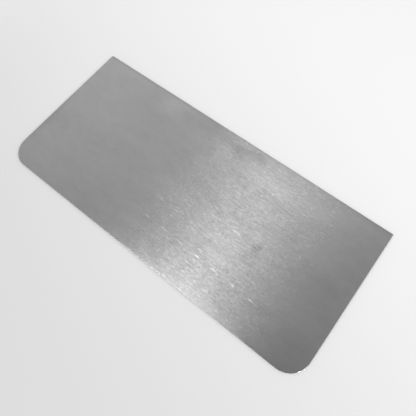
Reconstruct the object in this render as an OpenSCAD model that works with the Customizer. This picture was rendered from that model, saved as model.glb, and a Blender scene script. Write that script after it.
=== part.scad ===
// Icing smoother: one flat blade of stainless sheet that is held upright against a cake's side.
// X runs along the blade and Y from the grip edge to the smoothing edge. Z is up from the underside.

/* [Blade] */
// Length of the blade from end to end
blade_l = 250; // [180:1:320]
// Width of the blade from the grip edge to the smoothing edge
blade_w = 112; // [80:1:160]
// Thickness of the sheet
sheet_t = 1.2; // [0.9:0.1:3]

/* [Corners] */
// Radius of the two corners that lie in the palm, at the ends of the grip edge
grip_corner_r = 15; // [6:0.5:35]
// Radius of the two near-square corners, at the ends of the smoothing edge
working_corner_r = 0.8; // [0.6:0.1:5]

/* [Rim] */
// Radius of the rounding that takes the sharpness off the rim, on both faces
arris_r = 0.4; // [0.1:0.05:0.55]

/* [Hidden] */
$fn = 96;

half_l = blade_l / 2;
half_w = blade_w / 2;
// The full-width middle stops where the larger corners begin
middle_l = blade_l - 2 * grip_corner_r;
// Each end runs straight between its two corners
end_l = blade_w - grip_corner_r - working_corner_r;

// What rounding takes off one arris, with the sharp corner at [0, 0] and the sheet below and left of it
module arris_waste() {
    difference() {
        translate([-arris_r, -arris_r]) square(2 * arris_r);
        translate([-arris_r, -arris_r]) circle(r = arris_r);
    }
}

// Section through the rim, reaching out to +X by depth, with both of its arrises rounded
module rim_section(depth) {
    difference() {
        square([depth, sheet_t]);
        translate([depth, sheet_t]) arris_waste();
        translate([depth, 0]) mirror([0, 1]) arris_waste();
    }
}

// Straight stretch of rim that runs along +Y for length and faces +X
module straight_rim(depth, length) {
    translate([0, length, 0]) rotate([90, 0, 0]) linear_extrude(height = length) rim_section(depth);
}

// Quarter-round corner that faces +X and +Y, with its centre at the origin
module corner(radius) {
    rotate_extrude(angle = 90) rim_section(radius);
}

// Middle of the blade, at its full width, with the rim of both long edges
module middle() {
    for (side = [0, 1]) mirror([0, side, 0])
        translate([middle_l / 2, 0, 0]) rotate([0, 0, 90]) straight_rim(half_w, middle_l);
}

// End of the blade beyond the middle, on the +X side: its two corners and the rims between them
module blade_end() {
    translate([half_l - grip_corner_r, 0, 0]) {
        translate([0, grip_corner_r - half_w, 0]) straight_rim(grip_corner_r, end_l);
        translate([0, grip_corner_r - half_w, 0]) mirror([0, 1, 0]) corner(grip_corner_r);
    }
    translate([half_l - working_corner_r, half_w - working_corner_r, 0]) {
        rotate([0, 0, 90]) straight_rim(working_corner_r, grip_corner_r - working_corner_r);
        corner(working_corner_r);
    }
}

module blade() {
    color("silver") union() {
        middle();
        for (side = [0, 1]) mirror([side, 0, 0]) blade_end();
    }
}

blade();
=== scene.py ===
"""Icing smoother: one blade of satin stainless sheet, lying on a pale surface."""

import math

import bpy
from mathutils import Matrix, Quaternion, Vector


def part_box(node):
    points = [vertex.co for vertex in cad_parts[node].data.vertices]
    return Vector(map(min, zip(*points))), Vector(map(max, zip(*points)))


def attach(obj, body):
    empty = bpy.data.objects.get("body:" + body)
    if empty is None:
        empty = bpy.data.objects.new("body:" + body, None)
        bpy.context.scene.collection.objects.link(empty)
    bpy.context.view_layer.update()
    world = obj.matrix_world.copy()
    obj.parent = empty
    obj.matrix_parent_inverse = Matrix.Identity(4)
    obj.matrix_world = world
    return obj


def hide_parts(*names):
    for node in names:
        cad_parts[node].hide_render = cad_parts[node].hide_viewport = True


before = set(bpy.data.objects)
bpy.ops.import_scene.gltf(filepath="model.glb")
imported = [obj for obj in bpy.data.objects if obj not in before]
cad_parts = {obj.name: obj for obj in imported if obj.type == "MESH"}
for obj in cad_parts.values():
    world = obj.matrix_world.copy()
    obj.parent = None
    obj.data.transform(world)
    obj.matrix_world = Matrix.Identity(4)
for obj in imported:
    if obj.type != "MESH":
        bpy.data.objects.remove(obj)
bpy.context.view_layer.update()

MM = 0.001

# Camera, in millimetres in the row frame, fitted to the blade's four straight edges in the photograph
CAMERA_PLACE = Vector((84.52, -65.41, 240.45))
CAMERA_AIM = Vector((18.38, -1.51, 1.2))
CAMERA_ROLL_DEG = -8.39
LENS_MM = 32.83
SENSOR_MM = 36.0

# Blade, beyond what the frame gives
GRIP_CORNER_R = 15.0
WORKING_CORNER_R = 0.8
ARRIS_R = 0.4
ARRIS_STEPS = 8
CORNER_STEPS = 14
FACE_PITCH = 4.0

# Finish of the faces. The gain is the share by which the colour grows from the middle to the smoothing edge:
# painted light, lighter towards the smoothing edge and darker towards the grip edge
FACE_SHADE = 0.52
FACE_PAINTED_LIGHT_GAIN = 0.06
FACE_ROUGHNESS = 0.3984
FACE_ANISOTROPY = 0.877

# Sizes of the face's patterns along X, Y and Z, in millimetres
WAVE_SIZE = (90, 22, 200)
CLOUD_SIZE = (10, 6, 50)
STREAK_SIZE = (14, 0.4, 20)
GRAIN_SIZE = (1.5, 0.28, 20)
DASH_SIZE = (4.4, 0.3, 20)

# Slopes of the patterns along X, Y and Z, in the normals only
WAVE_SLOPE = (0.01, 0.06, 0.0)
CLOUD_SLOPE = (0.05, 0.18, 0.0)
GRAIN_SLOPE = (0.04, 0.0, 0.0)
GROOVE_SLOPE = 0.46

# How much the patterns change the colour: the grain, the random cloud tone, and painted glints, short bright
# dashes painted where the light glints on the grain
GROOVE_SHADE = 0.86
CLOUD_SHADE = 0.15
PAINTED_GLINT_SHADE = 0.62

# Round this X the lamp's band of light crosses the face. The grain's slopes and colour contrast and the painted
# glints are strongest there, a painted sparkle of that light, and fall off between these distances from it, in
# millimetres
LIGHT_BAND_CENTRE = 40.0
LIGHT_BAND_FADE = (38, 72)
GRAIN_OUTSIDE_LIGHT_BAND = 0.28

# Slopes of the bow, in the normals only: along X at the right end, and along Y at the smoothing edge
BOW = (-0.011, 0.009)

# Slopes of the grip edge's roll, in the normals only, and how close to the edge each of them keeps
EDGE_ROLL = 0.08
EDGE_ROLL_POWER = 12.0
EDGE_TURN = 0.22
EDGE_TURN_POWER = 60.0

# The smoothing edge is a little darker in its last millimetre or two
FAR_EDGE_SHADE = -0.25
FAR_EDGE_POWER = 50.0

# Roll marks, in millimetres. Each row has its Y, its first mark's X, how many marks it has and their strength
MARK_ROWS = ((-30.6, -10.8, 7, 1.0), (-15.3, -12.0, 3, 0.6), (-3.2, 29.0, 2, 0.8))
MARK_PITCH = 14.6
MARK_DRIFT = -0.035
# A mark fades out between these distances from its middle, along X and along Y
MARK_FADE_X = (0.6, 3.0)
MARK_FADE_Y = (0.05, 0.7)
MARK_SLOPE = -0.12
# The roll marks are real; their lighter colour is a painted glint of the lamp on them
MARK_PAINTED_GLINT = 0.5

# Soft patches of painted light and painted shade, with a real dull smudge among them, in millimetres: X, Y, how
# far it reaches along X and along Y, and how much lighter it is
PAINTED_LIGHT_AND_SMUDGE_PATCHES = (
    (40.0, 38.0, 50.0, 11.0, 0.11),
    (80.0, 39.0, 20.0, 11.0, 0.08),
    (0.5, 38.5, 11.0, 10.0, 0.08),
    (12.0, 44.5, 11.0, 9.0, -0.18),
    (24.0, 52.0, 11.0, 8.0, -0.14),
    (-16.0, 50.0, 20.0, 9.0, -0.09),
    (-45.0, 54.0, 38.0, 9.0, 0.07),
    (6.0, 55.0, 20.0, 6.0, 0.09),
    # A real dull smudge, with a slight dull halo round it
    (60.6, -5.2, 5.2, 6.6, -0.25),
    (58.0, -11.0, 10.0, 14.0, -0.06),
    (33.0, 29.0, 16.0, 7.0, -0.05),
    (72.0, 14.0, 11.0, 11.0, -0.06),
    (26.0, -22.0, 10.0, 8.0, -0.05),
    (10.0, 1.0, 9.0, 8.0, 0.06),
    (12.0, 14.0, 15.0, 19.0, 0.03),
    (16.0, 13.0, 10.0, 7.0, -0.06),
    (110.0, -46.0, 30.0, 20.0, -0.08),
    (108.0, -4.0, 38.0, 36.0, -0.07),
    (-126.0, -18.0, 7.0, 45.0, -0.12),
    (-98.0, 31.0, 32.0, 13.0, 0.05),
    (51.0, 35.0, 17.0, 9.0, 0.06),
    (-53.0, 46.0, 18.0, 14.0, 0.12),
    (6.0, -55.0, 32.0, 12.0, 0.12),
    (72.0, -55.0, 24.0, 8.0, 0.14),
)

# Rim colour, painted lighter along the grip edge and round its corners as a painted highlight where the lamps
# glint, and darker elsewhere as painted shade, and between which Y it changes, in millimetres
RIM_PAINTED_LIGHT_SHADES = (0.56, 0.36)
RIM_PAINTED_LIGHT_PLACES = (-48, -36)
# Its roughness on the straight of the grip edge and elsewhere, and between which Y it changes
RIM_ROUGHNESS = (0.26, 0.125)
RIM_ROUGHNESS_PLACES = (-55.5, -53)
# Depth of its fine scratches, in millimetres
RIM_BUMP = 0.002

# The room's level overhead for each lean towards +X, in degrees from upright
ROOM_LEVELS = (
    (-80, 1.2), (-60, 0.45), (-40, 0.626), (-22, 0.365), (-8, 0.575),
    (5, 0.23), (18, 0.075), (32, 0.04), (60, 1.1),
)
# How much that level grows towards +Y, for each lean
ROOM_SLANTS = ((-45, 0.5), (-22, 0.6), (-12, 0.45), (8, 2.9), (30, 2.5), (55, 0.1))
# Level of the walls, and the heights between which they become the ceiling. They reach higher towards +Y
WALL_LEVEL = 0.9
WALL_HEIGHTS = (0.25, 0.6)
WALL_RISE = -0.2

# The table, in metres: its radius, and how far it lies below the blade
FLOOR_RADIUS = 1.3
FLOOR_DROP = 0.00002
# Painted light and shade round the blade: its colour from the near side, darker, to the far side, lighter, how far
# out each is reached, and the turn towards X
FLOOR_PAINTED_LIGHT_SHADES = (0.657, 0.925)
FLOOR_SHADE_REACH = 0.197
FLOOR_SHADE_TURN = 0.2
# Its colour further out, from left to right, painted lighter on the left and darker on the right to even out the
# lamps' light, how far from the middle that ends, and where it takes over
FLOOR_OUTER_PAINTED_LIGHT_SHADES = (0.97, 0.85)
FLOOR_OUTER_REACH = 0.4
FLOOR_OUTER_FADE = (0.19, 0.42)
# Distances between which the table fades into the walls
FLOOR_WALL_FADE = (0.22, 0.6)
# A little light of the table's own, which keeps the contact shadow as thin as on a lit table
FLOOR_GLOW = 0.12

low, high = (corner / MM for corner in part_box("blade"))
HALF_L = (high.x - low.x) / 2
HALF_W = (high.y - low.y) / 2
SHEET_T = high.z - low.z


def add_camera():
    """The photograph's view. The picture is square, 416 by 416."""
    data = bpy.data.cameras.new("camera")
    data.sensor_width = SENSOR_MM
    data.lens = LENS_MM
    data.clip_start = 0.01
    data.clip_end = 50
    camera = bpy.data.objects.new("camera", data)
    bpy.context.collection.objects.link(camera)
    camera.rotation_mode = "QUATERNION"
    camera.location = CAMERA_PLACE * MM
    look = (CAMERA_AIM - CAMERA_PLACE).to_track_quat("-Z", "Y")
    camera.rotation_quaternion = look @ Quaternion((0, 0, 1), math.radians(CAMERA_ROLL_DEG))
    bpy.context.scene.camera = camera


class Nodes:
    """A node tree with short calls for the nodes that are used here."""

    def __init__(self, tree):
        self.tree = tree
        tree.nodes.clear()

    def add(self, kind, inputs=None, **settings):
        """Adds a node. inputs maps a socket's name or number to a value, or to the output that feeds it."""
        node = self.tree.nodes.new(kind)
        for name, value in settings.items():
            setattr(node, name, value)
        for key, value in (inputs or {}).items():
            if isinstance(value, bpy.types.NodeSocket):
                self.tree.links.new(value, node.inputs[key])
            else:
                node.inputs[key].default_value = value
        return node

    def math(self, operation, *values, clamp=False):
        node = self.add("ShaderNodeMath", dict(enumerate(values)), operation=operation, use_clamp=clamp)
        return node.outputs[0]

    def vector(self, operation, *values):
        node = self.add("ShaderNodeVectorMath", dict(enumerate(values)), operation=operation)
        return node.outputs[0]

    def stretched(self, place, size_mm):
        """Coordinates in which a pattern has that size, in millimetres, along X, Y and Z."""
        return self.vector("MULTIPLY", place, tuple(1 / (side * MM) for side in size_mm))

    def noise(self, place, size_mm, detail=2.0, roughness=0.5, offset=0.0):
        at = self.vector("ADD", self.stretched(place, size_mm), (offset, offset, offset))
        return self.add(
            "ShaderNodeTexNoise", {"Vector": at, "Scale": 1.0, "Detail": detail, "Roughness": roughness}
        )

    def signed(self, value, reach):
        """value, which lies around 0.5, as a number around 0 that reaches about reach."""
        return self.math("MULTIPLY", self.math("SUBTRACT", value, 0.5), 2 * reach)

    def mapped(self, value, start, end, low, high):
        node = self.add(
            "ShaderNodeMapRange",
            {"Value": value, "From Min": start, "From Max": end, "To Min": low, "To Max": high},
            interpolation_type="SMOOTHSTEP",
        )
        return node.outputs[0]

    def chained(self, value, knots):
        """A smooth curve through (value, result) pairs, level before the first and after the last."""
        result = knots[0][1]
        for (start, low), (end, high) in zip(knots, knots[1:]):
            result = self.math("ADD", self.mapped(value, start, end, 0.0, high - low), result)
        return result


def new_material(name):
    material = bpy.data.materials.new(name)
    material.use_nodes = True
    return material, Nodes(material.node_tree)


def roll_marks(n, parts):
    """1 on the short marks that the mill's rolls leave in rows along the sheet, and 0 elsewhere."""
    total = 0.0
    for row_y, first_x, count, strength in MARK_ROWS:
        along = n.math("SUBTRACT", parts["X"], first_x * MM)
        row = n.math("MULTIPLY_ADD", along, MARK_DRIFT, row_y * MM)
        number = n.math("ROUND", n.math("MULTIPLY", along, 1 / (MARK_PITCH * MM)))
        number = n.math("MINIMUM", n.math("MAXIMUM", number, 0.0), float(count - 1))
        off_x = n.math("ABSOLUTE", n.math("MULTIPLY_ADD", number, -MARK_PITCH * MM, along))
        off_y = n.math("ABSOLUTE", n.math("SUBTRACT", parts["Y"], row))
        long = n.mapped(off_x, MARK_FADE_X[0] * MM, MARK_FADE_X[1] * MM, strength, 0.0)
        thin = n.mapped(off_y, MARK_FADE_Y[0] * MM, MARK_FADE_Y[1] * MM, 1.0, 0.0)
        total = n.math("ADD", n.math("MULTIPLY", long, thin), total)
    return total


def patches(n, place):
    """A factor around 1 on the face's colour at each place: soft spots of painted light and painted shade, and a
    real dull smudge.
    """
    total = 1.0
    for x, y, reach_x, reach_y, change in PAINTED_LIGHT_AND_SMUDGE_PATCHES:
        scale = (1 / (reach_x * MM), 1 / (reach_y * MM), 0.0)
        off = n.vector("MULTIPLY_ADD", place, scale, (-x / reach_x, -y / reach_y, 0.0))
        reach = n.add("ShaderNodeVectorMath", {0: off}, operation="LENGTH").outputs["Value"]
        total = n.math("MULTIPLY", n.mapped(reach, 0.0, 1.0, 1.0 + change, 1.0), total)
    return total


def steel_face_material():
    """Satin rolled sheet: a grain along X, seen where a lamp's light sweeps across it, with painted glints and
    painted light and shade in its colour.
    """
    material, n = new_material("steel_face")
    place = n.add("ShaderNodeTexCoord").outputs["Object"]
    parts = n.add("ShaderNodeSeparateXYZ", {"Vector": place}).outputs
    wave = n.noise(place, WAVE_SIZE, detail=1.0)
    cloud = n.noise(place, CLOUD_SIZE, detail=2.0, roughness=0.65, offset=7.3)
    streak = n.noise(place, STREAK_SIZE, detail=1.0, offset=3.1)
    grain = n.noise(place, GRAIN_SIZE, detail=2.0, offset=11.7)
    dash = n.noise(place, DASH_SIZE, detail=1.0, offset=31.0).outputs["Fac"]
    # Painted glints: short bright dashes in the colour where the lamp's light glints on the grain
    painted_glint = n.mapped(dash, 0.58, 0.76, 0.0, 1.0)
    # Painted sparkle: how strongly the grain and the painted glints show, highest under the lamp's band of light
    light_band_depth = n.math("ABSOLUTE", n.math("SUBTRACT", parts["X"], LIGHT_BAND_CENTRE * MM))
    light_band_depth = n.mapped(light_band_depth, LIGHT_BAND_FADE[0] * MM, LIGHT_BAND_FADE[1] * MM, 1.0, GRAIN_OUTSIDE_LIGHT_BAND)
    # How far the grooves lean away from the grip edge, around 0
    groove = n.signed(grain.outputs["Fac"], 0.5)
    groove = n.math("ADD", groove, n.signed(streak.outputs["Fac"], 0.2))
    groove = n.math("MULTIPLY", groove, light_band_depth)
    painted_glint = n.math("MULTIPLY", painted_glint, n.math("POWER", light_band_depth, 2.0))
    # Slopes of the normals along X and along Y, as tangents. The mesh itself stays flat
    near = n.math("MULTIPLY", parts["Y"], -1 / (HALF_W * MM), clamp=True)
    rolled = n.math("MULTIPLY", n.math("POWER", near, EDGE_ROLL_POWER), -EDGE_ROLL)
    rolled = n.math("MULTIPLY_ADD", n.math("POWER", near, EDGE_TURN_POWER), -EDGE_TURN, rolled)
    marks = n.math("MULTIPLY", roll_marks(n, parts), n.mapped(dash, 0.4, 0.6, 0.3, 1.0))
    lean = n.math("MULTIPLY", groove, GROOVE_SLOPE)
    lean = n.math("MULTIPLY_ADD", parts["Y"], BOW[1] / (HALF_W * MM), lean)
    lean = n.math("ADD", rolled, lean)
    lean = n.math("MULTIPLY_ADD", marks, MARK_SLOPE, lean)
    bow = n.math("MULTIPLY", parts["X"], BOW[0] / (HALF_L * MM))
    slope = n.add("ShaderNodeCombineXYZ", {"X": bow, "Y": lean}).outputs[0]
    for pattern, reach in ((wave, WAVE_SLOPE), (cloud, CLOUD_SLOPE), (grain, GRAIN_SLOPE)):
        turn = n.vector("SUBTRACT", pattern.outputs["Color"], (0.5, 0.5, 0.5))
        slope = n.vector("MULTIPLY_ADD", turn, reach, slope)
    normal = n.add("ShaderNodeNewGeometry").outputs["Normal"]
    tilted = n.vector("NORMALIZE", n.vector("ADD", normal, slope))
    # Painted light: the face's colour grows from the grip edge towards the smoothing edge
    shade = n.math("MULTIPLY_ADD", parts["Y"], FACE_SHADE * FACE_PAINTED_LIGHT_GAIN / (HALF_W * MM), FACE_SHADE)
    # Painted light and painted shade in soft spots, and a real dull smudge
    shade = n.math("MULTIPLY", shade, patches(n, place))
    # The grain's own colour contrast, painted stronger under the lamp's band of light as painted sparkle
    shade = n.math("MULTIPLY", shade, n.math("MULTIPLY_ADD", groove, -GROOVE_SHADE, 1.0))
    # Painted highlight: the painted glints lighten the colour
    shade = n.math("MULTIPLY", shade, n.math("MULTIPLY_ADD", painted_glint, PAINTED_GLINT_SHADE, 1.0))
    # Real roll marks, whose glint is painted into the colour as a lighter dash
    shade = n.math("MULTIPLY", shade, n.math("MULTIPLY_ADD", marks, MARK_PAINTED_GLINT, 1.0))
    far = n.math("MULTIPLY", parts["Y"], 1 / (HALF_W * MM), clamp=True)
    far = n.math("POWER", far, FAR_EDGE_POWER)
    shade = n.math("MULTIPLY", shade, n.math("MULTIPLY_ADD", far, FAR_EDGE_SHADE, 1.0))
    tint = n.math("ADD", n.signed(cloud.outputs["Fac"], 0.5), n.signed(wave.outputs["Fac"], 0.5))
    shade = n.math("MULTIPLY", shade, n.math("MULTIPLY_ADD", tint, CLOUD_SHADE, 1.0))
    across = n.add(
        "ShaderNodeVectorTransform",
        {"Vector": (0.0, 1.0, 0.0)},
        vector_type="VECTOR", convert_from="OBJECT", convert_to="WORLD",
    ).outputs[0]
    bsdf = n.add(
        "ShaderNodeBsdfPrincipled",
        {
            "Base Color": n.add("ShaderNodeCombineColor", {0: shade, 1: shade, 2: shade}).outputs[0],
            "Metallic": 1.0,
            "Roughness": FACE_ROUGHNESS,
            "Anisotropic": FACE_ANISOTROPY,
            "Normal": tilted,
            "Tangent": across,
        },
    )
    n.add("ShaderNodeOutputMaterial", {"Surface": bsdf.outputs[0]})
    return material


def steel_rim_material():
    """The deburred rim, smoother than the faces, with a painted highlight along the grip edge and painted shade
    elsewhere.
    """
    material, n = new_material("steel_rim")
    place = n.add("ShaderNodeTexCoord").outputs["Object"]
    scratch = n.noise(place, (3.0, 3.0, 0.09), detail=2.0).outputs["Fac"]
    nick = n.noise(place, (1.3, 1.3, 0.5), detail=2.0, offset=5.0).outputs["Fac"]
    height = n.math("ADD", scratch, n.math("MULTIPLY", nick, 0.6))
    from_grip = n.add("ShaderNodeSeparateXYZ", {"Vector": place}).outputs["Y"]
    # Painted highlight along the grip edge and its corners, painted shade elsewhere
    start, end = (y * MM for y in RIM_PAINTED_LIGHT_PLACES)
    shade = n.mapped(from_grip, start, end, *RIM_PAINTED_LIGHT_SHADES)
    start, end = (y * MM for y in RIM_ROUGHNESS_PLACES)
    rough = n.mapped(from_grip, start, end, *RIM_ROUGHNESS)
    bump = n.add("ShaderNodeBump", {"Height": height, "Distance": RIM_BUMP * MM, "Strength": 1.0})
    bsdf = n.add(
        "ShaderNodeBsdfPrincipled",
        {
            "Base Color": n.add("ShaderNodeCombineColor", {0: shade, 1: shade, 2: shade}).outputs[0],
            "Metallic": 1.0,
            "Roughness": n.math("MULTIPLY", rough, n.mapped(nick, 0.3, 0.7, 0.85, 1.25)),
            "Normal": bump.outputs[0],
        },
    )
    n.add("ShaderNodeOutputMaterial", {"Surface": bsdf.outputs[0]})
    return material


def floor_material():
    """A pale matt surface with painted light and shade, darker on the near side and lighter on the far side, that
    fades into the room's walls far from the blade.
    """
    material, n = new_material("pale_floor")
    place = n.add("ShaderNodeTexCoord").outputs["Object"]
    parts = n.add("ShaderNodeSeparateXYZ", {"Vector": place}).outputs
    # Painted light and shade: the table's colour ramps from the near side to the far side
    along = n.math("MULTIPLY_ADD", parts["X"], FLOOR_SHADE_TURN, parts["Y"])
    shade = n.mapped(along, -FLOOR_SHADE_REACH, FLOOR_SHADE_REACH, *FLOOR_PAINTED_LIGHT_SHADES)
    reach = n.add("ShaderNodeVectorMath", {0: place}, operation="LENGTH").outputs["Value"]
    # Painted light further out, lighter on the left where the lamps give less light
    outer = n.mapped(parts["X"], -FLOOR_OUTER_REACH, FLOOR_OUTER_REACH, *FLOOR_OUTER_PAINTED_LIGHT_SHADES)
    outward = n.mapped(reach, *FLOOR_OUTER_FADE, 0.0, 1.0)
    shade = n.math("MULTIPLY_ADD", n.math("SUBTRACT", outer, shade), outward, shade)
    colour = n.add("ShaderNodeCombineColor", {0: shade, 1: shade, 2: shade}).outputs[0]
    bsdf = n.add(
        "ShaderNodeBsdfPrincipled",
        {
            "Base Color": colour,
            "Roughness": 1.0,
            "Specular IOR Level": 0.0,
            "Emission Color": (1.0, 1.0, 1.0, 1),
            "Emission Strength": FLOOR_GLOW,
        },
    )
    wall = n.add("ShaderNodeEmission", {"Color": (WALL_LEVEL, WALL_LEVEL, WALL_LEVEL, 1)})
    away = n.mapped(reach, *FLOOR_WALL_FADE, 0.0, 1.0)
    surface = n.add("ShaderNodeMixShader", {0: away, 1: bsdf.outputs[0], 2: wall.outputs[0]})
    n.add("ShaderNodeOutputMaterial", {"Surface": surface.outputs[0]})
    return material


def steps(start, end, count):
    """count numbers from start up to, but not including, end."""
    return [start + (end - start) * i / count for i in range(count)]


def rim_quarter(x_side, y_side, radius):
    """One corner's share of the rim, as (foot, outward normal) pairs in order from its Y wall to its X wall.

    It runs along a square of GRIP_CORNER_R: straight to the arc, and round the arc to the end of its X wall.
    """
    centre = Vector((x_side * (HALF_L - radius), y_side * (HALF_W - radius)))
    straight = GRIP_CORNER_R - radius
    arc_half = CORNER_STEPS if straight < radius else CORNER_STEPS // 2
    lead = CORNER_STEPS - arc_half
    feet = []
    for gap in steps(straight, 0, lead):
        feet.append((Vector((centre.x - x_side * gap, y_side * HALF_W)), Vector((0, y_side))))
    for angle in steps(0, math.pi / 2, 2 * arc_half) + [math.pi / 2]:
        normal = Vector((x_side * math.sin(angle), y_side * math.cos(angle)))
        feet.append((centre + normal * radius, normal))
    for gap in steps(straight, 0, lead)[::-1]:
        feet.append((Vector((x_side * HALF_L, centre.y - y_side * gap)), Vector((x_side, 0))))
    return feet


def rim_loop():
    """The whole rim's (foot, outward normal) pairs, anticlockwise from the middle of the near left corner."""
    near_left = rim_quarter(-1, -1, GRIP_CORNER_R)[::-1]
    near_right = rim_quarter(1, -1, GRIP_CORNER_R)
    far_right = rim_quarter(1, 1, WORKING_CORNER_R)[::-1]
    far_left = rim_quarter(-1, 1, WORKING_CORNER_R)
    columns = round(2 * (HALF_L - GRIP_CORNER_R) / FACE_PITCH)
    rows = round(2 * (HALF_W - GRIP_CORNER_R) / FACE_PITCH)
    loop = []
    corners = ((near_left, near_right, columns), (near_right, far_right, rows),
               (far_right, far_left, columns), (far_left, near_left, rows))
    for corner, following, count in corners:
        loop += corner
        start, end = corner[-1][0], following[0][0]
        loop += [(start.lerp(end, i / count), corner[-1][1]) for i in range(1, count)]
    turn = CORNER_STEPS
    return loop[turn:] + loop[:turn], columns + 2 * turn, rows + 2 * turn


def rim_profile():
    """(inset, height, turn) for each ring of the rim, from the top face down.

    turn is how far the ring's normal has turned from straight up.
    """
    rings = []
    for i in range(ARRIS_STEPS + 1):
        turn = math.pi / 2 * i / ARRIS_STEPS
        rings.append((ARRIS_R * (1 - math.sin(turn)), SHEET_T - ARRIS_R * (1 - math.cos(turn)), turn))
    return rings + [(inset, SHEET_T - height, math.pi - turn) for inset, height, turn in rings[::-1]]


def add_blade():
    """The blade as quads: two gridded faces, joined by the rings of the rounded rim."""
    loop, columns, rows = rim_loop()
    count = len(loop)
    vertices, normals, faces, slots = [], [], [], []
    profile = rim_profile()
    for inset, height, turn in profile:
        for foot, out in loop:
            at = foot - out * inset
            vertices.append((at.x, at.y, height))
            normals.append((out.x * math.sin(turn), out.y * math.sin(turn), math.cos(turn)))
    for ring in range(len(profile) - 1):
        for i in range(count):
            j = (i + 1) % count
            faces.append((ring * count + i, (ring + 1) * count + i, (ring + 1) * count + j, ring * count + j))
            slots.append(1)
    for ring, z in ((0, 1), (len(profile) - 1, -1)):
        grid = face_grid(vertices, normals, ring * count, columns, rows, z)
        for i in range(columns):
            for j in range(rows):
                quad = (grid[i][j], grid[i + 1][j], grid[i + 1][j + 1], grid[i][j + 1])
                faces.append(quad if z > 0 else quad[::-1])
                slots.append(0)
    mesh = bpy.data.meshes.new("smoother_blade")
    mesh.from_pydata([Vector(v) * MM for v in vertices], [], faces)
    mesh.materials.append(steel_face_material())
    mesh.materials.append(steel_rim_material())
    mesh.polygons.foreach_set("material_index", slots)
    mesh.polygons.foreach_set("use_smooth", [True] * len(faces))
    mesh.update()
    mesh.normals_split_custom_set_from_vertices(normals)
    blade = bpy.data.objects.new("smoother_blade", mesh)
    bpy.context.collection.objects.link(blade)
    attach(blade, "root")
    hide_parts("blade")


def face_grid(vertices, normals, first, columns, rows, z):
    """Vertex numbers of one flat face's grid, whose border is the rim's ring that starts at first."""
    def border(k):
        return first + k % (2 * (columns + rows))

    near = [border(i) for i in range(columns + 1)]
    right = [border(columns + j) for j in range(rows + 1)]
    far = [border(2 * columns + rows - i) for i in range(columns + 1)]
    left = [border(2 * (columns + rows) - j) for j in range(rows + 1)]
    grid = [[None] * (rows + 1) for _ in range(columns + 1)]
    for i in range(columns + 1):
        grid[i][0], grid[i][rows] = near[i], far[i]
    for j in range(rows + 1):
        grid[0][j], grid[columns][j] = left[j], right[j]

    def at(k):
        return Vector(vertices[k])

    for i in range(1, columns):
        for j in range(1, rows):
            u, v = i / columns, j / rows
            ruled = at(near[i]).lerp(at(far[i]), v) + at(left[j]).lerp(at(right[j]), u)
            corners = at(near[0]).lerp(at(near[-1]), u).lerp(at(far[0]).lerp(at(far[-1]), u), v)
            grid[i][j] = len(vertices)
            vertices.append(tuple(ruled - corners))
            normals.append((0, 0, z))
    return grid


def add_floor():
    """A round table top."""
    turns = steps(0, 2 * math.pi, 96)
    rim = [(FLOOR_RADIUS * math.cos(turn), FLOOR_RADIUS * math.sin(turn), -FLOOR_DROP) for turn in turns]
    mesh = bpy.data.meshes.new("floor")
    mesh.from_pydata(rim, [], [tuple(range(len(rim)))])
    mesh.materials.append(floor_material())
    floor = bpy.data.objects.new("floor", mesh)
    bpy.context.collection.objects.link(floor)


def add_lamp(name, place, size, along, power):
    """A soft rectangular lamp that faces the blade.

    place and size are in metres, and along is the way that the first side of size runs.
    """
    data = bpy.data.lights.new(name, "AREA")
    data.shape = "RECTANGLE"
    data.size, data.size_y = size
    data.energy = power
    lamp = bpy.data.objects.new(name, data)
    bpy.context.collection.objects.link(lamp)
    back = Vector(place).normalized()
    up = back.cross(Vector(along)).normalized()
    turn = Matrix((up.cross(back), up, back)).transposed()
    lamp.matrix_world = Matrix.Translation(place) @ turn.to_4x4()


def add_world():
    """A plain grey room, whose ceiling has light and dark stretches from left to right."""
    world = bpy.data.worlds.new("world")
    bpy.context.scene.world = world
    world.use_nodes = True
    n = Nodes(world.node_tree)
    way = n.add("ShaderNodeTexCoord").outputs["Generated"]
    parts = n.add("ShaderNodeSeparateXYZ", {"Vector": way}).outputs
    lean = n.math("DEGREES", n.math("ARCTAN2", parts["X"], n.math("MAXIMUM", parts["Z"], 0.001)))
    slant = n.math("MULTIPLY_ADD", n.chained(lean, ROOM_SLANTS), parts["Y"], 1.0)
    ceiling = n.math("MULTIPLY", n.chained(lean, ROOM_LEVELS), n.math("MAXIMUM", slant, 0.05))
    height = n.math("MULTIPLY_ADD", n.math("MAXIMUM", parts["Y"], 0.0), WALL_RISE, parts["Z"])
    height = n.mapped(height, *WALL_HEIGHTS, 0.0, 1.0)
    rise = n.math("MULTIPLY", n.math("SUBTRACT", ceiling, WALL_LEVEL), height)
    level = n.math("ADD", rise, WALL_LEVEL)
    colour = n.add("ShaderNodeCombineColor", {0: level, 1: level, 2: level}).outputs[0]
    sky = n.add("ShaderNodeBackground", {"Color": colour, "Strength": 1.0})
    n.add("ShaderNodeOutputWorld", {"Surface": sky.outputs[0]})


add_camera()
add_world()
add_floor()
add_lamp("ceiling_lamp", place=(-0.248, -0.469, 1.5), size=(0.508, 0.169), along=(0.0, 1.0, 0.0), power=2.42)
add_lamp("low_lamp", place=(-0.388, -1.01, 0.888), size=(0.321, 0.15), along=(1.0, 0.0, 0.0), power=0.45)
add_lamp("rim_lamp", place=(-0.42, -1.15, 0.7), size=(0.3, 0.2), along=(1.0, 0.0, 0.0), power=1.5)
add_lamp("far_rim_lamp", place=(-0.02, -1.15, 0.7), size=(0.2, 0.2), along=(1.0, 0.0, 0.0), power=0.4)
add_lamp("corner_lamp", place=(0.63, -0.106, 1.242), size=(0.17, 0.07), along=(0.4, 0.9, 0.0), power=1.75)
add_lamp("right_window", place=(1.75, 0.4, 1.25), size=(2.4, 1.6), along=(0.0, 1.0, 0.0), power=17.0)
add_blade()

scene = bpy.context.scene
scene.view_settings.view_transform = "Standard"
